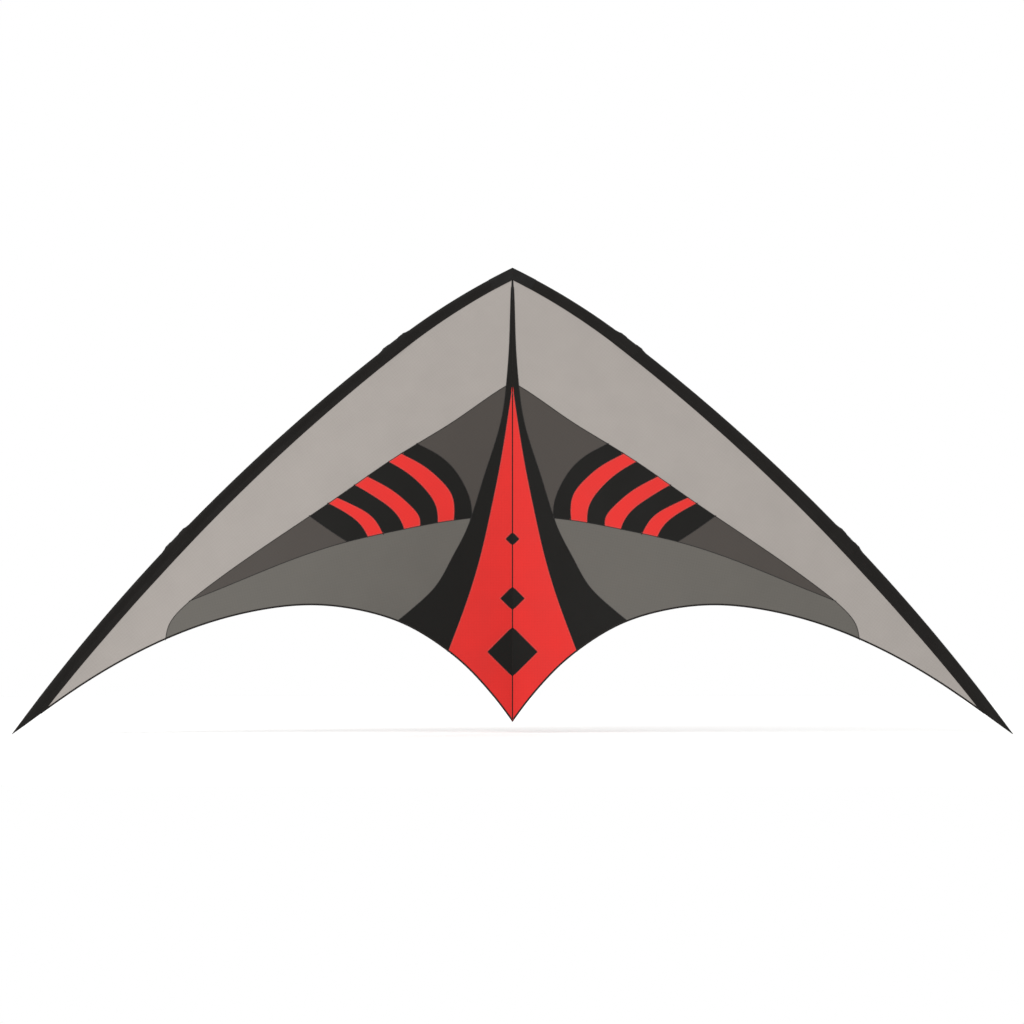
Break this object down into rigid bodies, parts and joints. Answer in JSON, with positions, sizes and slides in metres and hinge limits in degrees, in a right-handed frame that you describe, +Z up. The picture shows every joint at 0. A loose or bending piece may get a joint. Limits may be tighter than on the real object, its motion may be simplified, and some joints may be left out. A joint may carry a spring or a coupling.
{
  "type": "delta kite",
  "caption": "Dual-line delta sport kite: panelled cloth sail on curved leading edges, with a spine, cross spreaders and standoffs; it folds at the spine for packing.",
  "frame": {"origin": "the bridle eye on the front of the centre tee, from which the kite hangs", "axes": "+X across the span to the right wing, +Y from the sail towards the flyer, +Z up the spine to the nose"},
  "size_m": [1.8048, 0.1321, 0.834],
  "materials": {
    "carbon_tube": "wound carbon tube, satin clear resin",
    "moulded_rubber": "moulded fitting, matt",
    "moulded_plastic": "moulded nylon, fine texture",
    "webbing": "heavy woven webbing",
    "sleeve_cloth": "heavy polyester sleeve cloth",
    "edge_tape": "folded ripstop tape, sewn",
    "light_grey_cloth": "ripstop sail cloth",
    "dark_grey_cloth": "ripstop sail cloth",
    "mid_grey_cloth": "ripstop sail cloth",
    "black_cloth": "ripstop sail cloth",
    "red_cloth": "ripstop sail cloth"
  },
  "bodies": {
    "spine_frame": {"spine_rod": "carbon_tube", "spine_nose_cap": "moulded_plastic", "spine_tail_cap": "moulded_plastic", "spine_stop_clips": "moulded_plastic", "centre_tee": "moulded_rubber", "nose_webbing": "webbing", "tail_pocket": "webbing", "centre_seam_tape": "edge_tape"},
    "left_wing": {"left_upper_leading_edge_spar": "carbon_tube", "left_lower_leading_edge_spar": "carbon_tube", "left_spar_ferrule": "carbon_tube", "left_leading_edge_sleeve": "sleeve_cloth", "left_spar_nose_cap": "moulded_plastic", "left_spar_tip_cap": "moulded_plastic", "left_stop_clips": "moulded_plastic", "left_tee_arm": "moulded_rubber", "left_sail_saddle": "moulded_plastic", "left_upper_sail_panel": "light_grey_cloth", "left_inner_sail_panel": "dark_grey_cloth", "left_striped_sail_panel": "black_cloth", "left_red_stripes": "red_cloth", "left_outer_sail_panel": "dark_grey_cloth", "left_trailing_sail_panel": "mid_grey_cloth", "left_centre_flare_panel": "black_cloth", "left_centre_red_panel": "red_cloth", "left_diamond_inlays": "black_cloth", "left_trailing_edge_hem": "edge_tape"},
    "left_spreader": {"left_spreader_rod": "carbon_tube", "left_lower_fitting": "moulded_rubber"},
    "left_standoff": {"left_standoff_clip": "moulded_rubber", "left_standoff_rod": "carbon_tube", "left_standoff_foot": "moulded_rubber"},
    "right_wing": {"right_upper_leading_edge_spar": "carbon_tube", "right_lower_leading_edge_spar": "carbon_tube", "right_spar_ferrule": "carbon_tube", "right_leading_edge_sleeve": "sleeve_cloth", "right_spar_nose_cap": "moulded_plastic", "right_spar_tip_cap": "moulded_plastic", "right_stop_clips": "moulded_plastic", "right_tee_arm": "moulded_rubber", "right_sail_saddle": "moulded_plastic", "right_upper_sail_panel": "light_grey_cloth", "right_inner_sail_panel": "dark_grey_cloth", "right_striped_sail_panel": "black_cloth", "right_red_stripes": "red_cloth", "right_outer_sail_panel": "dark_grey_cloth", "right_trailing_sail_panel": "mid_grey_cloth", "right_centre_flare_panel": "black_cloth", "right_centre_red_panel": "red_cloth", "right_diamond_inlays": "black_cloth", "right_trailing_edge_hem": "edge_tape", "right_upper_fitting": "moulded_rubber"},
    "right_spreader": {"right_spreader_rod": "carbon_tube", "right_lower_fitting": "moulded_rubber"},
    "right_standoff": {"right_standoff_clip": "moulded_rubber", "right_standoff_rod": "carbon_tube", "right_standoff_foot": "moulded_rubber"},
    "upper_spreader": {"upper_spreader_rod": "carbon_tube", "left_upper_fitting": "moulded_rubber"}
  },
  "joints": [
    {"name": "left_wing_fold", "type": "hinge", "parent": "spine_frame", "child": "left_wing", "pos_m": [0, -0.0158, 0], "axis": [0, 0, 1], "range_deg": [0, 50]},
    {"name": "left_spreader_swing", "type": "hinge", "parent": "left_wing", "child": "left_spreader", "pos_m": [-0.6077, -0.06386, -0.00256], "axis": [0.6847, 0.1095, 0.7205], "range_deg": [0, 90]},
    {"name": "left_standoff_swing", "type": "hinge", "parent": "left_spreader", "child": "left_standoff", "pos_m": [-0.3, -0.03007, -0.00124], "axis": [0.9975, 0.0706, 0.0043], "range_deg": [0, 90]},
    {"name": "right_wing_fold", "type": "hinge", "parent": "spine_frame", "child": "right_wing", "pos_m": [0, -0.0158, 0], "axis": [0, 0, -1], "range_deg": [0, 50]},
    {"name": "right_spreader_swing", "type": "hinge", "parent": "right_wing", "child": "right_spreader", "pos_m": [0.6077, -0.06386, -0.00256], "axis": [0.6847, -0.1095, -0.7205], "range_deg": [0, 90]},
    {"name": "right_standoff_swing", "type": "hinge", "parent": "right_spreader", "child": "right_standoff", "pos_m": [0.3, -0.03007, -0.00124], "axis": [0.9975, -0.0706, -0.0043], "range_deg": [0, 90]},
    {"name": "upper_spreader_swing", "type": "hinge", "parent": "left_wing", "child": "upper_spreader", "pos_m": [-0.21241, -0.01937, 0.35434], "axis": [0.7898, 0.0565, 0.6108], "range_deg": [0, 80]}
  ]
}
